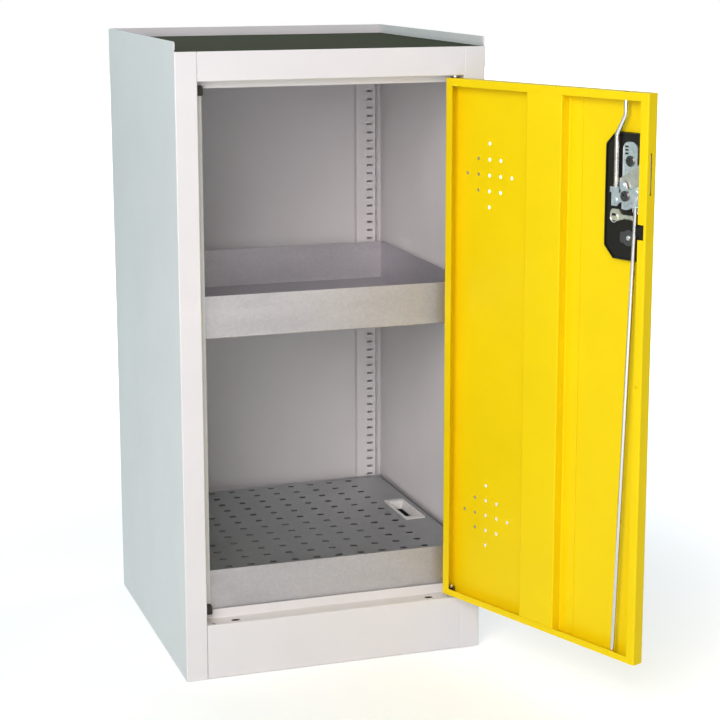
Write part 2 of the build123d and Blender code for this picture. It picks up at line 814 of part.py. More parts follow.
# Hinge pins, fixed in the folds, and the bosses that hold them
for pin_name, boss_name, fold, toward_door, door_edge in (
    ("lower_hinge_pin", "lower_hinge_boss", plinth_height - carcass_sheet, 1, door_bottom),
    ("upper_hinge_pin", "upper_hinge_boss", opening_top + carcass_sheet, -1, door_top),
):
    boss_end = fold - toward_door * boss_height
    pin_end = door_edge + toward_door * pin_reach
    with BuildPart() as hinge_pin:
        with BuildSketch(Plane.XY.offset(boss_end)):
            with Locations((pivot_x, pivot_y)):
                Circle(pin_diameter / 2)
        extrude(amount=pin_end - boss_end)
        fillet(
            hinge_pin.edges().sort_by(Axis.Z)[-1 if toward_door > 0 else 0],
            radius=pin_end_radius,
        )
        with BuildSketch(Plane.XY.offset(boss_end)):
            with Locations((pivot_x, pivot_y)):
                RegularPolygon(pin_head_diameter / 2, 6)
        extrude(amount=-toward_door * pin_head_height)
    hinge_pin.part.label = pin_name
    export_step(hinge_pin.part, f"parts/{pin_name}.step")

    with BuildPart() as hinge_boss:
        with BuildSketch(Plane.XY.offset(fold)):
            with Locations((pivot_x, pivot_y)):
                Circle(boss_diameter / 2)
                Circle(pin_hole_diameter / 2, mode=Mode.SUBTRACT)
        extrude(amount=boss_end - fold)
    hinge_boss.part.label = boss_name
    export_step(hinge_boss.part, f"parts/{boss_name}.step")

# Flanged bushes in the door's folds, which turn on the pins
for bush_name, door_edge, into_door in (
    ("lower_hinge_bush", door_bottom, 1),
    ("upper_hinge_bush", door_top, -1),
):
    with BuildPart() as hinge_bush:
        with BuildSketch(Plane.XY.offset(door_edge)):
            with Locations((pivot_x, pivot_y)):
                Circle(bush_diameter / 2)
                Circle(pin_hole_diameter / 2, mode=Mode.SUBTRACT)
        extrude(amount=into_door * bush_length)
        with BuildSketch(Plane.XY.offset(door_edge)):
            with Locations((pivot_x, pivot_y)):
                Circle(bush_diameter / 2 + bush_flange_wall / 2)
                Circle(pin_hole_diameter / 2, mode=Mode.SUBTRACT)
        extrude(amount=-into_door * bush_flange_thickness)
    hinge_bush.part.label = bush_name
    export_step(hinge_bush.part, f"parts/{bush_name}.step")

# Rubber bumpers on the left stop, at its top and bottom ends
bumper_depth = stop_depth - door_thickness - bumper_gap
with BuildPart() as door_bumpers:
    for bumper_height_middle in (stop_bottom + bumper_edge, stop_top - bumper_edge):
        with BuildSketch(Plane.XZ.offset(-stop_front)):
            with Locations((bumper_edge + bumper_width / 2 - post_edge, bumper_height_middle)):
                RectangleRounded(bumper_width, bumper_height, bumper_radius)
        extrude(amount=bumper_depth)
    fillet(door_bumpers.faces().group_by(Axis.Y)[0].edges(), radius=bumper_radius / 2)
door_bumpers.part.label = "door_bumpers"
export_step(door_bumpers.part, "parts/door_bumpers.step")

# Lock housing: a moulding in the door's cut-out, with a flange outside, a low rim inside and a hooked
# catch at the free side
cylinder_place = (lock_across + cylinder_offset[0], lock_height + cylinder_offset[1])
key_peg = (lock_across + key_peg_offset[0], lock_height + key_peg_offset[1])
with BuildPart() as lock_housing:
    with BuildSketch(door_face.offset(-housing_flange_thickness)):
        with Locations(cutout_middle):
            add(lock_outline(housing_flange))
    extrude(amount=housing_flange_thickness)
    with BuildSketch(door_face):
        with Locations(cutout_middle):
            add(lock_outline(-housing_gap))
    extrude(amount=housing_rear)
    with BuildSketch(door_face.offset(housing_rear)):
        with Locations(cutout_middle):
            add(lock_outline(-housing_gap))
            add(lock_outline(-housing_gap - housing_rim), mode=Mode.SUBTRACT)
        # The rim is open where the side bolt passes and where the catch stands
        with Locations((lock_across + cutout_right, bolt_slot_top + side_bolt_play)):
            Rectangle(
                3 * housing_rim, cutout_height, align=(Align.CENTER, Align.MAX), mode=Mode.SUBTRACT
            )
    extrude(amount=housing_rim_height)
    # Rounded hub outside, round the spindle
    with BuildSketch(door_face.offset(-housing_flange_thickness)):
        with Locations((lock_across, lock_height)):
            Circle(handle_hub_diameter / 2)
    extrude(amount=housing_flange_thickness - handle_standoff, taper=housing_hub_draft)
    # Catch: a narrow neck that carries a wider head beside the free lip
    with BuildSketch(door_face.offset(housing_rear)):
        with Locations(catch_middle):
            Rectangle(catch_neck_width, catch_neck_height, align=(Align.MAX, Align.CENTER))
            Rectangle(catch_gap, catch_height, align=(Align.MAX, Align.CENTER))
    extrude(amount=catch_length)
    with BuildSketch(door_face.offset(housing_rear + catch_length - catch_head_width / 2)):
        with Locations(catch_middle):
            Rectangle(catch_head_width, catch_height, align=(Align.MIN, Align.CENTER))
    extrude(amount=catch_head_width / 2)
    # Peg on which the key hangs
    with BuildSketch(door_face.offset(housing_rear)):
        with Locations(key_peg):
            Circle(key_peg_diameter / 2)
    extrude(amount=key_peg_length)
    with BuildSketch(door_face.offset(-handle_standoff)):
        with Locations((lock_across, lock_height)):
            Circle(spindle_diameter / 2 + spindle_clearance)
        with Locations(cylinder_place):
            Circle(cylinder_diameter / 2 + cylinder_clearance)
    extrude(amount=2 * handle_standoff + housing_rear, mode=Mode.SUBTRACT)
lock_housing.part.label = "lock_housing"
export_step(lock_housing.part, "parts/lock_housing.step")

# Swing handle outside: a tapered lever that turns with the spindle
with BuildPart() as swing_handle:
    handle_plane = door_face.offset(-handle_standoff - layer_gap)
    with BuildSketch(handle_plane):
        with Locations((lock_across, lock_height)):
            Circle(handle_hub_diameter / 2 - handle_hub_step)
    extrude(amount=-handle_thickness)
    lever_lean = radians(90 + lock_turn)
    tip = (
        lock_across + handle_length * cos(lever_lean),
        lock_height + handle_length * sin(lever_lean),
    )
    with BuildSketch(handle_plane.offset(-handle_hub_height)):
        with Locations((lock_across, lock_height)):
            Circle(handle_hub_diameter / 2 - 2 * handle_hub_step)
        with Locations(tip):
            Circle(handle_tip_width / 2)
        make_hull()
    extrude(amount=handle_hub_height - handle_thickness)
    fillet(
        swing_handle.faces().sort_by(Axis((0, 0, 0), outward))[-1].edges(),
        radius=handle_edge_radius,
    )
swing_handle.part.label = "swing_handle"
export_step(swing_handle.part, "parts/swing_handle.step")

# Spindle: joins the handle to the cam through the housing
with BuildPart() as spindle:
    with BuildSketch(door_face.offset(-handle_standoff - layer_gap)):
        with Locations((lock_across, lock_height)):
            Circle(spindle_diameter / 2)
    extrude(amount=handle_standoff + layer_gap + cam_floor)
spindle.part.label = "spindle"
export_step(spindle.part, "parts/spindle.step")

# Base plate: a stamping with a rounded top, three small slots and a screw hole
plate_screw = (lock_across + plate_screw_offset[0], lock_height + plate_screw_offset[1])
with BuildPart() as lock_base_plate:
    with BuildSketch(door_face.offset(housing_rear)) as plate_outline:
        with Locations((lock_across + (plate_left + plate_right) / 2, lock_height + plate_bottom)):
            Rectangle(
                plate_right - plate_left, plate_top - plate_bottom, align=(Align.CENTER, Align.MIN)
            )
        fillet(plate_outline.vertices().group_by(Axis.Y)[-1], radius=plate_corner)
        with Locations(
            (lock_across + plate_left + plate_slot_length, lock_height + plate_top - plate_slot_drop)
        ):
            with GridLocations(plate_slot_length, plate_slot_pitch, 1, 3):
                Rectangle(plate_slot_length, plate_slot_height, mode=Mode.SUBTRACT)
        with Locations((lock_across, lock_height)):
            Circle((spindle_diameter + spindle_hole_play) / 2, mode=Mode.SUBTRACT)
    extrude(amount=base_plate_sheet)
lock_base_plate.part.label = "lock_base_plate"
export_step(lock_base_plate.part, "parts/lock_base_plate.step")

with BuildPart() as base_plate_screw:
    with BuildSketch(door_face.offset(base_plate_top)):
        with Locations(plate_screw):
            Circle(plate_screw_diameter / 2)
    extrude(amount=plate_screw_head)
    screw_face = base_plate_screw.faces().sort_by(Axis((0, 0, 0), outward))[0]
    chamfer(screw_face.edges(), length=screw_edge)
    with BuildSketch(door_face.offset(base_plate_top + plate_screw_head)):
        with Locations(plate_screw):
            Rectangle(cross_recess_length, cross_recess_width)
            Rectangle(cross_recess_width, cross_recess_length)
    extrude(amount=-cross_recess_depth, mode=Mode.SUBTRACT)
base_plate_screw.part.label = "base_plate_screw"
export_step(base_plate_screw.part, "parts/base_plate_screw.step")

# Side bolt: a sliding plate, with a ramp up to its tongue, which leaves the door by the free edge
bolt_tip = door_width - side_bolt_tip_inset
bolt_left = lock_across + side_bolt_left
bolt_bottom = bolt_slot_bottom + side_bolt_play
bolt_top = bolt_slot_top - side_bolt_play
with BuildPart() as side_bolt:
    with BuildSketch(door_face.offset(bolt_floor)):
        with BuildLine():
            Polyline(
                (bolt_left, bolt_bottom),
                (bolt_tip, bolt_bottom),
                (bolt_tip, bolt_top),
                (lock_across + side_bolt_neck, bolt_top),
                (lock_across + side_bolt_ramp_end[0], lock_height + side_bolt_ramp_end[1]),
                (
                    bolt_left + side_bolt_shoulder_cut[0],
                    lock_height + side_bolt_shoulder + side_bolt_shoulder_cut[1],
                ),
                (bolt_left, lock_height + side_bolt_shoulder),
                close=True,
            )
        make_face()
        with Locations((bolt_pin[0], bolt_pin[1] + bolt_pin_drift / 2)):
            SlotOverall(
                cam_pin_diameter + bolt_pin_drift + 2 * slot_play,
                cam_pin_diameter + 2 * slot_play,
                rotation=90,
                mode=Mode.SUBTRACT,
            )
    extrude(amount=bolt_sheet)
side_bolt.part.label = "side_bolt"
export_step(side_bolt.part, "parts/side_bolt.step")

# Cam plate: arms to the three pins and a quadrant with curved slots, on the spindle's end
with BuildPart() as cam_plate:
    with BuildSketch(door_face.offset(cam_floor)):
        with Locations((lock_across, lock_height)):
            Circle(cam_hub_diameter / 2)
        with BuildSketch(mode=Mode.PRIVATE) as arms:
            with Locations(left_pin, right_pin):
                Circle(cam_arm_width / 2)
            make_hull()
        add(arms.sketch)
        with BuildSketch(mode=Mode.PRIVATE) as upper_arm:
            with Locations(bolt_pin, (lock_across, lock_height)):
                Circle(cam_arm_width / 2)
            make_hull()
        add(upper_arm.sketch)
        with BuildSketch(mode=Mode.PRIVATE) as quadrant:
            with Locations((lock_across, lock_height)):
                Circle(cam_quadrant_radius)
            with Locations((lock_across + cam_quadrant_left, lock_height + cam_quadrant_top)):
                Rectangle(
                    2 * cam_quadrant_radius,
                    2 * cam_quadrant_radius,
                    align=(Align.MIN, Align.MAX),
                    mode=Mode.INTERSECT,
                )
        add(quadrant.sketch)
        with BuildLine() as slot_arc:
            CenterArc((lock_across, lock_height), cam_slot_radius, cam_slot_start, cam_slot_sweep)
        SlotArc(slot_arc.wires()[0], cam_slot_width, mode=Mode.SUBTRACT)
        with Locations(left_pin, right_pin, bolt_pin):
            Circle(cam_pin_diameter / 2, mode=Mode.SUBTRACT)
    extrude(amount=cam_sheet)
cam_plate.part.label = "cam_plate"
export_step(cam_plate.part, "parts/cam_plate.step")

# Cam pins, riveted in the cam: two reach the rods, the third reaches the side bolt
with BuildPart() as cam_pins:
    for pin_place, pin_floor in ((left_pin, yoke_floor), (right_pin, yoke_floor), (bolt_pin, bolt_floor)):
        pin_end = pin_floor + cam_pin_set_back
        with BuildSketch(door_face.offset(pin_end)):
            with Locations(pin_place):
                Circle(cam_pin_diameter / 2)
        extrude(amount=cam_top - pin_end)
        with BuildSketch(door_face.offset(cam_top)):
            with Locations(pin_place):
                Circle(cam_pin_head_diameter / 2)
        extrude(amount=cam_pin_head)
cam_pins.part.label = "cam_pins"
export_step(cam_pins.part, "parts/cam_pins.step")

with BuildPart() as cam_screw:
    with BuildSketch(door_face.offset(cam_top)):
        with Locations((lock_across, lock_height)):
            Circle(cam_screw_diameter / 2)
    extrude(amount=cam_screw_head)
    chamfer(cam_screw.faces().sort_by(Axis((0, 0, 0), outward))[0].edges(), length=screw_edge)
    with BuildSketch(door_face.offset(cam_top + cam_screw_head)):
        with Locations((lock_across, lock_height)):
            RegularPolygon(hex_socket_size / 2, 6)
    extrude(amount=-hex_socket_depth, mode=Mode.SUBTRACT)
cam_screw.part.label = "cam_screw"
export_step(cam_screw.part, "parts/cam_screw.step")

# Upper rod: round bar with a joggle, from the rod block to its guide in the top fold
upper_rod_foot = lock_across + upper_rod_foot_offset
block_bottom = left_pin[1] - rod_block_below_pin
block_top = block_bottom + rod_block_height
with BuildPart() as upper_rod:
    with BuildLine(door_face.offset(rod_depth)) as rod_path:
        FilletPolyline(
            (upper_rod_foot, block_top),
            (upper_rod_foot, door_top - upper_rod_bend_foot),
            (rod_across, door_top - upper_rod_bend_top),
            (rod_across, door_top - rod_tip_inset),
            radius=upper_rod_bend_radius,
        )
    with BuildSketch(door_plan(block_top)):
        with Locations((upper_rod_foot, -rod_depth)):
            Circle(rod_diameter / 2)
    sweep(path=rod_path.wires()[0])
upper_rod.part.label = "upper_rod"
export_step(upper_rod.part, "parts/upper_rod.step")

# Rod block: a stamped foot welded under the upper rod, with a slot for the cam's left pin
with BuildPart() as rod_block:
    with BuildSketch(door_face.offset(yoke_floor)) as foot_outline:
        with Locations((upper_rod_foot, block_bottom)):
            Rectangle(rod_block_width, rod_block_height, align=(Align.CENTER, Align.MIN))
        low_right = foot_outline.vertices().group_by(Axis.Y)[0].sort_by(Axis.X)[-1]
        chamfer(low_right, length=rod_block_corner)
        with Locations((left_pin[0] - rod_pin_drift / 2, left_pin[1])):
            SlotOverall(
                cam_pin_diameter + rod_pin_drift + 2 * slot_play,
                cam_pin_diameter + 2 * slot_play,
                mode=Mode.SUBTRACT,
            )
    extrude(amount=yoke_sheet)
    with BuildSketch(door_face.offset(yoke_floor)):
        with Locations((upper_rod_foot, block_top)):
            Rectangle(rod_block_width, rod_block_head, align=(Align.CENTER, Align.MAX))
        with Locations((upper_rod_foot - rod_diameter, block_top - rod_block_head / 2)):
            Circle(rod_block_hole / 2, mode=Mode.SUBTRACT)
    extrude(amount=rod_depth + rod_diameter / 2 - yoke_floor)
rod_block.part.label = "rod_block"
export_step(rod_block.part, "parts/rod_block.step")

# Lower rod: straight leaning bar with a flattened tongue on the cam's right pin
rod_axis_plane = Plane(
    origin=on_door(right_pin[0], right_pin[1], rod_depth), x_dir=outward, z_dir=lower_rod_down
)
tongue_plane = Plane(
    origin=on_door(right_pin[0], right_pin[1], yoke_floor),
    x_dir=rod_axis_plane.y_dir,
    z_dir=outward * -1,
)
lower_rod_reach = (right_pin[1] - door_bottom - rod_tip_inset) / cos(lower_rod_lean)
with BuildPart() as lower_rod:
    with BuildSketch(rod_axis_plane.offset(rod_tongue_length - rod_tongue_lap)):
        Circle(rod_diameter / 2)
    extrude(amount=lower_rod_reach - rod_tongue_length + rod_tongue_lap)
    with BuildSketch(tongue_plane):
        with Locations((0, -rod_tongue_length / 2)):
            SlotCenterToCenter(rod_tongue_length, rod_tongue_width, rotation=90)
        with Locations((lower_pin_slip / 2, 0)):
            SlotOverall(
                cam_pin_diameter + lower_pin_slip + 2 * slot_play,
                cam_pin_diameter + 2 * slot_play,
                mode=Mode.SUBTRACT,
            )
    extrude(amount=yoke_sheet)
lower_rod.part.label = "lower_rod"
export_step(lower_rod.part, "parts/lower_rod.step")

# Rod guides: plastic collars in the door's top and bottom folds
with BuildPart() as upper_rod_guide:
    with BuildSketch(door_plan(door_top)):
        with Locations((rod_across, -rod_depth)):
            Circle(guide_hole_diameter / 2)
            Circle(rod_diameter / 2 + guide_running_clearance, mode=Mode.SUBTRACT)
    extrude(amount=-guide_length)
upper_rod_guide.part.label = "upper_rod_guide"
export_step(upper_rod_guide.part, "parts/upper_rod_guide.step")

with BuildPart() as lower_rod_guide:
    with BuildSketch(door_plan(door_bottom)):
        with Locations((rod_across, -rod_depth)):
            Circle(guide_hole_diameter / 2)
    extrude(amount=guide_length)
    with BuildSketch(rod_axis_plane.offset(lower_rod_reach - 3 * guide_length)):
        Circle(rod_diameter / 2 + guide_running_clearance)
    extrude(amount=6 * guide_length, mode=Mode.SUBTRACT)
lower_rod_guide.part.label = "lower_rod_guide"
export_step(lower_rod_guide.part, "parts/lower_rod_guide.step")

# Lock cylinder: turns in the housing; a keyway outside, a cam and a bright screw inside
cylinder_end = housing_rear + cylinder_rear
with BuildPart() as lock_cylinder:
    with BuildSketch(door_face.offset(-cylinder_face)):
        with Locations(cylinder_place):
            Circle(cylinder_diameter / 2)
    extrude(amount=cylinder_face + cylinder_end)
    with BuildSketch(door_face.offset(-cylinder_face)):
        with Locations(cylinder_place):
            Rectangle(keyway_width, keyway_length)
    extrude(amount=keyway_depth, mode=Mode.SUBTRACT)
lock_cylinder.part.label = "lock_cylinder"
export_step(lock_cylinder.part, "parts/lock_cylinder.step")

with BuildPart() as cylinder_cam:
    with BuildSketch(door_face.offset(housing_rear + layer_gap)):
        with Locations(cylinder_place):
            Circle(cylinder_cam_diameter / 2)
        with Locations((cylinder_place[0] - cylinder_cam_reach, cylinder_place[1])):
            RectangleRounded(
                cylinder_cam_reach,
                cylinder_cam_height,
                cylinder_cam_round,
                align=(Align.MIN, Align.CENTER),
            )
        with Locations(cylinder_place):
            Circle(cylinder_diameter / 2, mode=Mode.SUBTRACT)
    extrude(amount=cylinder_end - housing_rear - layer_gap)
    with BuildSketch(door_face.offset(cylinder_end)):
        with Locations(cylinder_place):
            Circle(cylinder_cam_diameter / 2)
            Circle(cylinder_cam_diameter / 2 - cylinder_ring_wall, mode=Mode.SUBTRACT)
    extrude(amount=cylinder_ring_height)
cylinder_cam.part.label = "cylinder_cam"
export_step(cylinder_cam.part, "parts/cylinder_cam.step")

with BuildPart() as cylinder_screw:
    with BuildSketch(door_face.offset(cylinder_end)):
        with Locations(cylinder_place):
            Circle(cylinder_screw_diameter / 2)
    extrude(amount=cylinder_screw_head)
    screw_face = cylinder_screw.faces().sort_by(Axis((0, 0, 0), outward))[0]
    fillet(screw_face.edges(), radius=cylinder_screw_head / 2)
cylinder_screw.part.label = "cylinder_screw"
export_step(cylinder_screw.part, "parts/cylinder_screw.step")

# Key: hangs on the housing's peg by the hole in its bow, whose top and bottom are cut flat, with a
# collar and a blade that has cuts along its lower edge
bow_middle = (key_peg[0] + key_peg_diameter / 2, key_peg[1] - key_hole_play)
blade_start = bow_middle[0] + key_bow_diameter / 2 - key_collar_length / 2
blade_height = bow_middle[1] - key_hang
with BuildPart() as key:
    with BuildSketch(door_face.offset(housing_rear + layer_gap)):
        with Locations(bow_middle):
            Circle(key_bow_diameter / 2)
            Rectangle(key_bow_diameter, 2 * key_bow_flat, mode=Mode.INTERSECT)
        with Locations((blade_start, blade_height)):
            Rectangle(key_collar_length, key_collar_width, align=(Align.MIN, Align.CENTER))
            Rectangle(key_blade_length, key_blade_width, align=(Align.MIN, Align.CENTER))
        for cut in range(key_cut_count):
            cut_across = blade_start + key_blade_length - key_cut_pitch * (cut + 1)
            with Locations((cut_across, blade_height - key_blade_width / 2)):
                Circle(key_cut_depth, mode=Mode.SUBTRACT)
        with Locations(key_peg):
            Circle(key_peg_diameter / 2 + key_hole_play, mode=Mode.SUBTRACT)
    extrude(amount=key_thickness)
key.part.label = "key"
export_step(key.part, "parts/key.step")

# Wire ring, hung on the same peg in front of the key
ring_depth = housing_rear + layer_gap + key_thickness + layer_gap + key_ring_wire / 2
ring_drop = key_ring_radius - key_ring_wire / 2 - key_peg_diameter / 2
ring_middle = on_door(key_peg[0], key_peg[1] - ring_drop, ring_depth)
with BuildPart() as key_ring:
    with BuildSketch(Plane(origin=ring_middle, x_dir=along, z_dir=(0, 0, 1))):
        with Locations((key_ring_radius, 0)):
            Circle(key_ring_wire / 2)
    revolve(axis=Axis(ring_middle, outward))
key_ring.part.label = "key_ring"
export_step(key_ring.part, "parts/key_ring.step")
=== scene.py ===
import json
from math import cos, pi, radians, sin

import bmesh
import bpy
from mathutils import Matrix, Vector


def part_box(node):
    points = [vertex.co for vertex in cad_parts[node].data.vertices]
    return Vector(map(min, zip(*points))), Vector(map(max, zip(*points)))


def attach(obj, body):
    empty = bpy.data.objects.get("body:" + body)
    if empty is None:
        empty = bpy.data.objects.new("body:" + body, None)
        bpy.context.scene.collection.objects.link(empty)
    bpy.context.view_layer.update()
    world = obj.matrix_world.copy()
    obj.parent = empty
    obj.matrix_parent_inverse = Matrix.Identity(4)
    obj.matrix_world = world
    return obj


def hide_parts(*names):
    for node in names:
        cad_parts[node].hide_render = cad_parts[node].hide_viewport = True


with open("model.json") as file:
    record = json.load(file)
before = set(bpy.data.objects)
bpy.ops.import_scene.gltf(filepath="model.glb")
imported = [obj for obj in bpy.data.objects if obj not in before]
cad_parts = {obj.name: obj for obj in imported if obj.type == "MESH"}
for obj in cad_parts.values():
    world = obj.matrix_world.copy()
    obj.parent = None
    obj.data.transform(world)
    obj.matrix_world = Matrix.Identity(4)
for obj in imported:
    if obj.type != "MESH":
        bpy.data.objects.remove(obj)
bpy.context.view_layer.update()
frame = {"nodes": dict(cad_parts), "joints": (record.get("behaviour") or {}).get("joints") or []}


# Camera: a long lens a little above the cabinet's top, turned to show its left side and its open
# front. It is tilted down to the cabinet's middle, with a small shift for the photograph's framing.
lens_mm = 94.35
sensor_mm = 36
lens_shift = -0.05
eye = Vector((-0.8896, -3.0260, 1.1508))
turned = radians(18.542)
tilted = radians(11.354)
rolled = radians(-0.108)

ahead = Vector((sin(turned) * cos(tilted), cos(turned) * cos(tilted), -sin(tilted)))
level_right = Vector((cos(turned), -sin(turned), 0))
level_up = level_right.cross(ahead)
frame_right = level_right * cos(rolled) + level_up * sin(rolled)
frame_up = level_up * cos(rolled) - level_right * sin(rolled)
camera_data = bpy.data.cameras.new("camera")
camera_data.lens = lens_mm
camera_data.sensor_width = sensor_mm
camera_data.shift_y = lens_shift
camera = bpy.data.objects.new("camera", camera_data)
camera.matrix_world = Matrix((
    (frame_right.x, frame_up.x, -ahead.x, eye.x),
    (frame_right.y, frame_up.y, -ahead.y, eye.y),
    (frame_right.z, frame_up.z, -ahead.z, eye.z),
    (0, 0, 0, 1),
))
bpy.context.scene.collection.objects.link(camera)
bpy.context.scene.camera = camera
bpy.context.scene.view_settings.view_transform = "Standard"


# Room: a white floor in a white room, with one wide soft lamp in front and to the left and fainter
# ones round it. The camera sees the room as white, and gloss sees it pale in front and a darker
# green-grey behind. The floor keeps a soft shadow near the cabinet and is dark under it.
room_white = (1, 1, 1)
room_front = (1.0, 0.985, 0.98)
room_back = (0.50, 0.62, 0.59)
room_turn = 0.75
room_light = 0.39
room_light_colour = (0.77, 0.91, 1.0)
floor_white = (0.86, 0.86, 0.86)
floor_reach = 14
floor_below = 0.0005
shadow_reach = 0.55
shadow_glow = 0.30
white_reach = 2.3
white_glow = 1.3
under_cabinet = 0.245
lamp_aim = Vector((0, -0.1, 0.5))


def opaque(colour):
    """A colour, or a level of grey, with full alpha."""
    return (*colour, 1) if isinstance(colour, tuple) else (colour, colour, colour, 1)


def feed(tree, node, inputs):
    """Gives each input of a node its own value, or links it to another node's output."""
    for socket, value in inputs.items():
        if isinstance(value, bpy.types.NodeSocket):
            tree.links.new(value, node.inputs[socket])
        else:
            node.inputs[socket].default_value = value


def new_node(tree, kind, inputs=None, **settings):
    """A new shader node with its settings and inputs."""
    node = tree.nodes.new("ShaderNode" + kind)
    for setting, value in settings.items():
        setattr(node, setting, value)
    feed(tree, node, inputs or {})
    return node


world = bpy.data.worlds.new("white_room")
world.use_nodes = True
room = world.node_tree
room.nodes.clear()
ray = new_node(room, "LightPath")
camera_or_gloss = new_node(
    room, "Math",
    {0: ray.outputs["Is Camera Ray"], 1: ray.outputs["Is Glossy Ray"]},
    operation="MAXIMUM",
)
seen = new_node(
    room, "Math",
    {0: camera_or_gloss.outputs[0], 1: ray.outputs["Is Transmission Ray"]},
    operation="MAXIMUM",
)
direction = new_node(room, "TexCoord")
direction_parts = new_node(room, "SeparateXYZ", {0: direction.outputs["Generated"]})
backward = new_node(
    room, "MapRange",
    {"Value": direction_parts.outputs["Y"], "From Min": -room_turn, "From Max": room_turn},
)
room_shade = new_node(
    room, "Mix",
    {"Factor": backward.outputs[0], "A": opaque(room_front), "B": opaque(room_back)},
    data_type="RGBA",
)
soft_light = new_node(
    room, "Background", {"Color": opaque(room_light_colour), "Strength": room_light},
)
for_camera = new_node(room, "Background", {"Color": opaque(room_white)})
for_gloss = new_node(room, "Background", {"Color": room_shade.outputs["Result"]})
backdrop = new_node(
    room, "MixShader",
    {0: ray.outputs["Is Camera Ray"], 1: for_gloss.outputs[0], 2: for_camera.outputs[0]},
)
room_surface = new_node(
    room, "MixShader", {0: seen.outputs[0], 1: soft_light.outputs[0], 2: backdrop.outputs[0]},
)
new_node(room, "OutputWorld", {"Surface": room_surface.outputs[0]})
bpy.context.scene.world = world

floor_mesh = bpy.data.meshes.new("floor")
floor_mesh.from_pydata(
    [
        (x * floor_reach, y * floor_reach, -floor_below)
        for x, y in ((-1, -1), (1, -1), (1, 1), (-1, 1))
    ],
    [],
    [(0, 1, 2, 3)],
)
floor = bpy.data.objects.new("floor", floor_mesh)
bpy.context.scene.collection.objects.link(floor)
floor_paint = bpy.data.materials.new("white_floor")
floor_paint.use_nodes = True
floor_tree = floor_paint.node_tree
floor_tree.nodes.clear()
floor_place = new_node(floor_tree, "NewGeometry").outputs["Position"]
distance = new_node(floor_tree, "VectorMath", {0: floor_place}, operation="LENGTH")
glow_by_distance = new_node(
    floor_tree, "MapRange",
    {
        "Value": distance.outputs["Value"],
        "From Min": shadow_reach, "From Max": white_reach,
        "To Min": shadow_glow, "To Max": white_glow,
    },
    interpolation_type="SMOOTHSTEP",
)
both_sides = new_node(floor_tree, "VectorMath", {0: floor_place}, operation="ABSOLUTE")
from_middle = new_node(floor_tree, "SeparateXYZ", {0: both_sides.outputs[0]})
farthest = new_node(
    floor_tree, "Math",
    {0: from_middle.outputs["X"], 1: from_middle.outputs["Y"]},
    operation="MAXIMUM",
)
in_the_open = new_node(
    floor_tree, "Math", {0: farthest.outputs[0], 1: under_cabinet}, operation="GREATER_THAN",
)
glow = new_node(
    floor_tree, "Math",
    {0: glow_by_distance.outputs[0], 1: in_the_open.outputs[0]},
    operation="MULTIPLY",
)
floor_glow = new_node(
    floor_tree, "Emission", {"Color": opaque(room_white), "Strength": glow.outputs[0]},
)
floor_dark = new_node(floor_tree, "Emission", {"Strength": 0})
floor_ray = new_node(floor_tree, "LightPath")
floor_seen = new_node(
    floor_tree, "MixShader",
    {0: floor_ray.outputs["Is Camera Ray"], 1: floor_dark.outputs[0], 2: floor_glow.outputs[0]},
)
floor_matt = new_node(floor_tree, "BsdfDiffuse", {"Color": opaque(floor_white)})
floor_surface = new_node(
    floor_tree, "AddShader", {0: floor_matt.outputs[0], 1: floor_seen.outputs[0]},
)
new_node(floor_tree, "OutputMaterial", {"Surface": floor_surface.outputs[0]})
floor_mesh.materials.append(floor_paint)

for lamp_name, lamp_place, lamp_size, lamp_power, lamp_colour in (
    ("front_lamp", (-1.9, -3.15, 1.85), 2.4, 122, (1.0, 0.89, 0.88)),
    ("left_lamp", (-3.3, 0.1, 2.2), 2.2, 15, (0.30, 1.0, 0.72)),
    ("right_lamp", (3.0, 0.8, 2.4), 2.2, 32, (1.0, 1.0, 1.0)),
    ("back_lamp", (0.2, 3.4, 2.6), 2.4, 28, (1.0, 1.0, 1.0)),
):
    lamp_data = bpy.data.lights.new(lamp_name, "AREA")
    lamp_data.shape = "SQUARE"
    lamp_data.size = lamp_size
    lamp_data.energy = lamp_power
    lamp_data.color = lamp_colour
    lamp = bpy.data.objects.new(lamp_name, lamp_data)
    lamp.location = lamp_place
    to_aim = lamp_aim - Vector(lamp_place)
    lamp.rotation_euler = to_aim.to_track_quat("-Z", "Y").to_euler()
    bpy.context.scene.collection.objects.link(lamp)


# Carcass sheets: both sides, back, top, base, rail and plinth are folded from 1 mm steel and
# sprayed with light grey powder, which bakes to a satin skin with a very fine orange peel.
carcass_grey = (0.71, 0.706, 0.716)


def new_material(name):
    """An empty node material with its surface shader, and the tree that it stands in."""
    material = bpy.data.materials.new(name)
    material.use_nodes = True
    tree = material.node_tree
    tree.nodes.clear()
    surface = new_node(tree, "BsdfPrincipled")
    new_node(tree, "OutputMaterial", {"Surface": surface.outputs[0]})
    return material, tree, surface


def grain(tree, scale, detail=3, stretch=(1, 1, 1)):
    """Noise over the piece, with its scale in features to the metre and a stretch for each axis."""
    place = new_node(tree, "TexCoord")
    scaled = new_node(tree, "Mapping", {"Vector": place.outputs["Object"], "Scale": stretch})
    noise = new_node(
        tree, "TexNoise", {"Vector": scaled.outputs[0], "Scale": scale, "Detail": detail},
    )
    return noise.outputs["Fac"]


def ramp(tree, pattern, low, high):
    """The middle of a pattern's range, spread between two colours or two levels of grey."""
    steps = new_node(tree, "ValToRGB", {"Fac": pattern})
    first, last = steps.color_ramp.elements
    first.position = 0.3
    last.position = 0.7
    first.color = opaque(low)
    last.color = opaque(high)
    return steps.outputs["Color"]


def tint(colour, amount):
    """The colour made lighter or darker by a factor."""
    return tuple(min(1.0, part * amount) for part in colour)


def mottled(tree, pattern, colour, darkest, lightest):
    """A colour that goes from a darker to a lighter tint of itself with a pattern."""
    return ramp(tree, pattern, tint(colour, darkest), tint(colour, lightest))


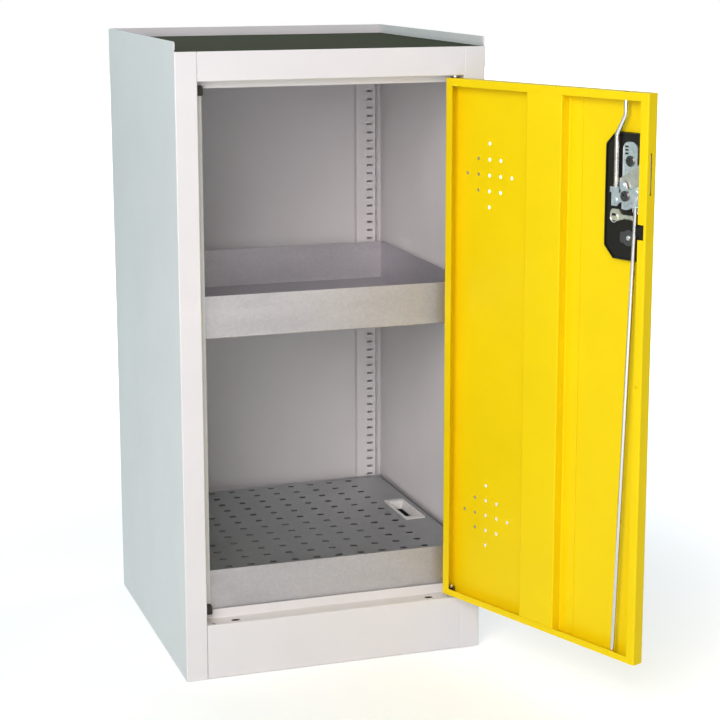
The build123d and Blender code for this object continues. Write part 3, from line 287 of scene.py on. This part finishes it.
def uneven(tree, pattern, middle, below, above):
    """A number that goes from somewhat below its middle to somewhat above it with a pattern."""
    return ramp(tree, pattern, middle - below, middle + above)


def relief(tree, surface, height, depth, strength):
    """Bumps the surface by a height map, with the depth of the relief in metres."""
    bump = new_node(tree, "Bump", {"Height": height, "Distance": depth, "Strength": strength})
    feed(tree, surface, {"Normal": bump.outputs[0]})


def powder_coat(name, colour, roughness, shine=0.5):
    """Baked powder: an even colour with slow clouds, a satin gloss and a fine orange peel."""
    material, tree, surface = new_material(name)
    clouds = grain(tree, scale=9, detail=2)
    satin = grain(tree, scale=60)
    orange_peel = grain(tree, scale=1100, detail=2)
    feed(tree, surface, {
        "Base Color": mottled(tree, clouds, colour, darkest=0.975, lightest=1.015),
        "Roughness": uneven(tree, satin, roughness, below=0.04, above=0.05),
        "Specular IOR Level": shine,
    })
    relief(tree, surface, orange_peel, depth=0.00004, strength=0.35)
    return material


def finish_nodes(material, *names):
    """Gives CAD nodes their finished material."""
    for name in names:
        for place in frame["nodes"][name].material_slots:
            place.material = material


carcass_paint = powder_coat("carcass_paint", carcass_grey, roughness=0.42)
finish_nodes(
    carcass_paint,
    "left_side_panel", "right_side_panel", "back_panel", "top_panel", "base_panel",
    "front_top_rail", "plinth",
)


# Floor frame: a ring of steel angle welded inside the panels' lower edges, sprayed with the
# carcass. Its grey is a tenth darker than the walls', a painted shade for its place low inside.
frame_paint_and_shade = powder_coat("frame_paint_and_shade", tint(carcass_grey, 0.9), roughness=0.5)
finish_nodes(frame_paint_and_shade, "floor_frame")


# Slotted uprights: rolled channels with a column of punched slots, welded in before the spraying.
# They are painted a little lighter than the walls, a painted sheen for their smoother faces.
upright_paint_and_sheen = powder_coat("upright_paint_and_sheen", tint(carcass_grey, 1.03), roughness=0.36)
finish_nodes(
    upright_paint_and_sheen,
    "rear_left_upright", "rear_right_upright", "front_left_upright", "front_right_upright",
)


# Spill trays: pans folded from hot-dip galvanised sheet, with a hemmed upper edge. The zinc has a
# fine grey spangle, long faint streaks and duller patches.
tray_grey = (0.53, 0.525, 0.55)
spangle_scale = 300
streak_share = 0.72
patch_tint = 0.78
patch_strength = 0.4


def galvanised(name, colour, roughness):
    """Dipped zinc: small crystals of differing brightness, with faint streaks and dull patches."""
    material, tree, surface = new_material(name)
    place = new_node(tree, "TexCoord")
    crystals = new_node(
        tree, "TexVoronoi", {"Vector": place.outputs["Object"], "Scale": spangle_scale},
    )
    spangle = new_node(tree, "SeparateColor", {"Color": crystals.outputs["Color"]})
    streaks = grain(tree, scale=30, detail=5, stretch=(0.2, 0.2, 1))
    brightness = new_node(
        tree, "Mix", {"Factor": streak_share, "A": spangle.outputs[0], "B": streaks},
    ).outputs["Result"]
    patches = new_node(
        tree, "MapRange",
        {
            "Value": grain(tree, scale=9, detail=6, stretch=(1, 1, 2.5)),
            "From Min": 0.58, "From Max": 0.70, "To Max": patch_strength,
        },
    )
    patched = new_node(
        tree, "Mix",
        {
            "Factor": patches.outputs[0],
            "A": mottled(tree, brightness, colour, darkest=0.92, lightest=1.07),
            "B": opaque(tint(colour, patch_tint)),
        },
        data_type="RGBA",
    )
    feed(tree, surface, {
        "Base Color": patched.outputs["Result"],
        "Roughness": uneven(tree, brightness, roughness, below=0.03, above=0.05),
        "Metallic": 1.0,
    })
    relief(tree, surface, grain(tree, scale=500), depth=0.00003, strength=0.2)
    return material


tray_zinc = galvanised("tray_zinc", tray_grey, roughness=0.53)
finish_nodes(tray_zinc, "upper_tray", "lower_tray")


# Perforated grid: a galvanised sheet, punched with slots and folded down at its edges, that stands
# in the lower tray. Its zinc is darker and smoother than the trays'.
grid_grey = (0.445, 0.47, 0.475)
grid_zinc = galvanised("grid_zinc", grid_grey, roughness=0.42)
finish_nodes(grid_zinc, "tray_grid")


# Grip frame: a pale moulded collar pressed into the grid's hand hole, with a thin rim on top and
# sloped inner sides. The grid is lifted out by it.
grip_white = (0.72, 0.73, 0.71)


def moulding(name, colour, roughness, texture=0.3, shine=0.5):
    """Moulded plastic or rubber: one colour with faint clouds and a fine moulded texture."""
    material, tree, surface = new_material(name)
    clouds = grain(tree, scale=70)
    sheen = grain(tree, scale=220)
    feed(tree, surface, {
        "Base Color": mottled(tree, clouds, colour, darkest=0.9, lightest=1.08),
        "Roughness": uneven(tree, sheen, roughness, below=0.05, above=0.06),
        "Specular IOR Level": shine,
    })
    relief(tree, surface, grain(tree, scale=2400, detail=2), depth=0.00005, strength=texture)
    return material


grip_plastic = moulding("grip_plastic", grip_white, roughness=0.45)
finish_nodes(grip_plastic, "grid_grip_frame")


# Shelf clips: strips bent from zinc-plated steel and hooked into the uprights' slots. Their ledges
# carry the upper tray.
clip_silver = (0.78, 0.79, 0.80)


def zinc_plate(name, colour, roughness):
    """Plated steel: smooth and metallic, with fine drawing lines and slight blotches."""
    material, tree, surface = new_material(name)
    blotches = grain(tree, scale=120, detail=4)
    haze = grain(tree, scale=260)
    drawing_lines = grain(tree, scale=900, detail=2, stretch=(1, 1, 0.12))
    feed(tree, surface, {
        "Base Color": mottled(tree, blotches, colour, darkest=0.88, lightest=1.08),
        "Roughness": uneven(tree, haze, roughness, below=0.05, above=0.08),
        "Metallic": 1.0,
    })
    relief(tree, surface, drawing_lines, depth=0.00002, strength=0.25)
    return material


lock_zinc = zinc_plate("lock_zinc", clip_silver, roughness=0.30)
finish_nodes(lock_zinc, "shelf_clips")


# Rubber mat: a fluted mat of matt green-black rubber, cut to the recessed top and laid in loose.
# Its flutes run from side to side.
mat_green_black = (0.032, 0.037, 0.018)
flute_pitch = 0.003
flute_depth = 0.0011
flute_steps = 4
flute_fullness = 0.6


def fluted_slab(low, high):
    """The shape of a slab whose upper face is a row of round flutes from side to side."""
    flutes = int((high.y - low.y) / flute_pitch)
    pitch = (high.y - low.y) / flutes
    profile = [(low.y, low.z), (high.y, low.z)]
    for number in range(flutes * flute_steps + 1):
        along_depth = high.y - number * pitch / flute_steps
        rise = abs(sin(pi * number / flute_steps)) ** flute_fullness
        profile.append((along_depth, high.z - flute_depth * (1 - rise)))
    shape = bmesh.new()
    ends = [[shape.verts.new((x, y, z)) for y, z in profile] for x in (low.x, high.x)]
    count = len(profile)
    for number in range(count):
        after = (number + 1) % count
        shape.faces.new((ends[0][number], ends[0][after], ends[1][after], ends[1][number]))
    shape.faces.new(list(reversed(ends[0])))
    shape.faces.new(ends[1])
    return shape


def finished_piece(name, shape, material):
    """An object from a shape, with its faces turned outward and its material on."""
    bmesh.ops.recalc_face_normals(shape, faces=shape.faces)
    mesh = bpy.data.meshes.new(name)
    shape.to_mesh(mesh)
    shape.free()
    mesh.materials.append(material)
    piece = bpy.data.objects.new(name, mesh)
    bpy.context.scene.collection.objects.link(piece)
    return piece


mat_rubber = moulding("mat_rubber", mat_green_black, roughness=0.7, texture=0.5, shine=0.15)
top_mat = finished_piece("top_mat", fluted_slab(*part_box("rubber_mat")), mat_rubber)
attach(top_mat, "mat")
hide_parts("rubber_mat")


# Door leaf and stiffener: a pan of 1 mm steel with folded lips, and a hat section welded inside it.
# Both are sprayed in bright yellow powder.
door_yellow = (0.85, 0.625, 0.003)
door_paint = powder_coat("door_paint", door_yellow, roughness=0.36, shine=0.15)
finish_nodes(door_paint, "door_panel", "door_stiffener")


# Hinge pins and bosses: turned from steel and zinc plated. The bosses sit in the rail and the
# plinth and hold the pins, on which the door turns.
finish_nodes(
    lock_zinc,
    "lower_hinge_pin", "upper_hinge_pin", "lower_hinge_boss", "upper_hinge_boss",
)


# Hinge bushes and rod guides: black nylon collars, pressed into the door's top and bottom folds.
# The bushes turn on the pins, and the rods slide through the guides.
nylon_black = (0.018, 0.018, 0.020)
nylon = moulding("black_nylon", nylon_black, roughness=0.42)
finish_nodes(nylon, "lower_hinge_bush", "upper_hinge_bush", "upper_rod_guide", "lower_rod_guide")


# Door bumpers: small black rubber pads, stuck on the left stop at its top and bottom ends, where
# the door's free side lands.
bumper_black = (0.03, 0.027, 0.024)
bumper_rubber = moulding("bumper_rubber", bumper_black, roughness=0.7, texture=0.5)
finish_nodes(bumper_rubber, "door_bumpers")


# Lock housing and handle: black glass-filled nylon mouldings with a fine spark texture. The housing
# fills the cut-out in the door, and the handle turns on the outside.
housing_black = (0.010, 0.008, 0.006)
housing_plastic = moulding(
    "housing_plastic", housing_black, roughness=0.40, texture=0.4, shine=0.28,
)
finish_nodes(housing_plastic, "lock_housing", "swing_handle")


# Rods: round bar drawn bright and zinc plated, so they show long clean lights down their sides. The
# upper one has a joggle, and the lower one leans from the cam to its guide.
rod_silver = (0.93, 0.93, 0.92)


def bright_bar(name, colour, roughness):
    """Drawn and plated bar: mirror-like, with faint long draw lines and hardly any blotches."""
    material, tree, surface = new_material(name)
    draw_lines = grain(tree, scale=90, stretch=(1, 1, 0.05))
    haze = grain(tree, scale=50, detail=2)
    feed(tree, surface, {
        "Base Color": mottled(tree, draw_lines, colour, darkest=0.95, lightest=1.03),
        "Roughness": uneven(tree, haze, roughness, below=0.02, above=0.04),
        "Metallic": 1.0,
    })
    return material


rod_zinc = bright_bar("rod_zinc", rod_silver, roughness=0.20)
finish_nodes(rod_zinc, "upper_rod", "lower_rod")


# Base plate and cam: stampings in bright blue-white zinc plate, with light handling marks. The
# cam's pins, the block welded under the upper rod and the spindle are plated in the same way.
plate_silver = (0.82, 0.85, 0.88)
plate_zinc = zinc_plate("plate_zinc", plate_silver, roughness=0.30)
finish_nodes(plate_zinc, "lock_base_plate", "cam_plate", "cam_pins", "rod_block", "spindle")


# Side bolt: a sliding stamping, tumbled before it was plated, so it is a satin warm grey. Its
# tongue leaves the door by the slot in the free edge.
bolt_grey = (0.58, 0.56, 0.51)
bolt_zinc = zinc_plate("bolt_zinc", bolt_grey, roughness=0.48)
finish_nodes(bolt_zinc, "side_bolt")


# Dark screws: blackened steel heads. One holds the base plate to the housing, and the other holds
# the cam on the spindle.
screw_black = (0.13, 0.125, 0.12)
black_steel = zinc_plate("black_steel", screw_black, roughness=0.26)
finish_nodes(black_steel, "base_plate_screw", "cam_screw")


# Cylinder cam, washer and screw: a dark moulded cam on the inner end of the cylinder, a washer with
# two raised rings that hides that end, and a small bright screw through its middle.
washer_grey = (0.050, 0.049, 0.050)
washer_outline = (
    (0.0038, 0.00002), (0.0103, 0.00002), (0.0103, 0.00020), (0.0090, 0.00022),
    (0.0087, 0.00050), (0.0073, 0.00052), (0.0070, 0.00022), (0.0058, 0.00020),
    (0.0055, 0.00052), (0.0043, 0.00054), (0.0040, 0.00020), (0.0038, 0.00018),
)
washer_steps = 64


def turned_ring(middle, axis, outline, steps):
    """The shape of a ring turned on a level axis, from a closed outline of radii and heights."""
    upward = Vector((0, 0, 1))
    sideways = upward.cross(axis)
    shape = bmesh.new()
    rows = []
    for step in range(steps):
        turn = 2 * pi * step / steps
        spoke = sideways * cos(turn) + upward * sin(turn)
        rows.append([
            shape.verts.new(middle + spoke * radius + axis * height) for radius, height in outline
        ])
    count = len(outline)
    for step in range(steps):
        row, after = rows[step], rows[(step + 1) % steps]
        for number in range(count):
            follow = (number + 1) % count
            shape.faces.new((row[number], row[follow], after[follow], after[number]))
    return shape


turning = {joint["name"]: joint for joint in frame["joints"]}["cylinder_turn"]
cylinder_axis = Vector(turning["axis"])
cylinder_start = Vector(turning["pos_m"])
cylinder_length = max(
    (corner.co - cylinder_start).dot(cylinder_axis)
    for corner in frame["nodes"]["lock_cylinder"].data.vertices
)
cylinder_end = cylinder_start + cylinder_axis * cylinder_length
washer_black = moulding("washer_black", washer_grey, roughness=0.34, texture=0.2)
cylinder_rings = finished_piece(
    "cylinder_rings",
    turned_ring(cylinder_end, cylinder_axis, washer_outline, washer_steps),
    washer_black,
)
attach(cylinder_rings, "cylinder")
finish_nodes(washer_black, "cylinder_cam")
finish_nodes(rod_zinc, "cylinder_screw")


# Lock cylinder: a nickel-plated barrel that turns in the housing. Its keyway is on the outside of
# the door.
nickel_silver = (0.70, 0.69, 0.66)
nickel = zinc_plate("nickel", nickel_silver, roughness=0.22)
finish_nodes(nickel, "lock_cylinder")


# Key: a stamped and milled key of nickelled brass that hangs on the housing's peg by its bow. A
# ring of spring wire hangs in front of it.
key_brass = (0.86, 0.80, 0.65)
key_metal = zinc_plate("key_metal", key_brass, roughness=0.30)
finish_nodes(key_metal, "key")
finish_nodes(rod_zinc, "key_ring")
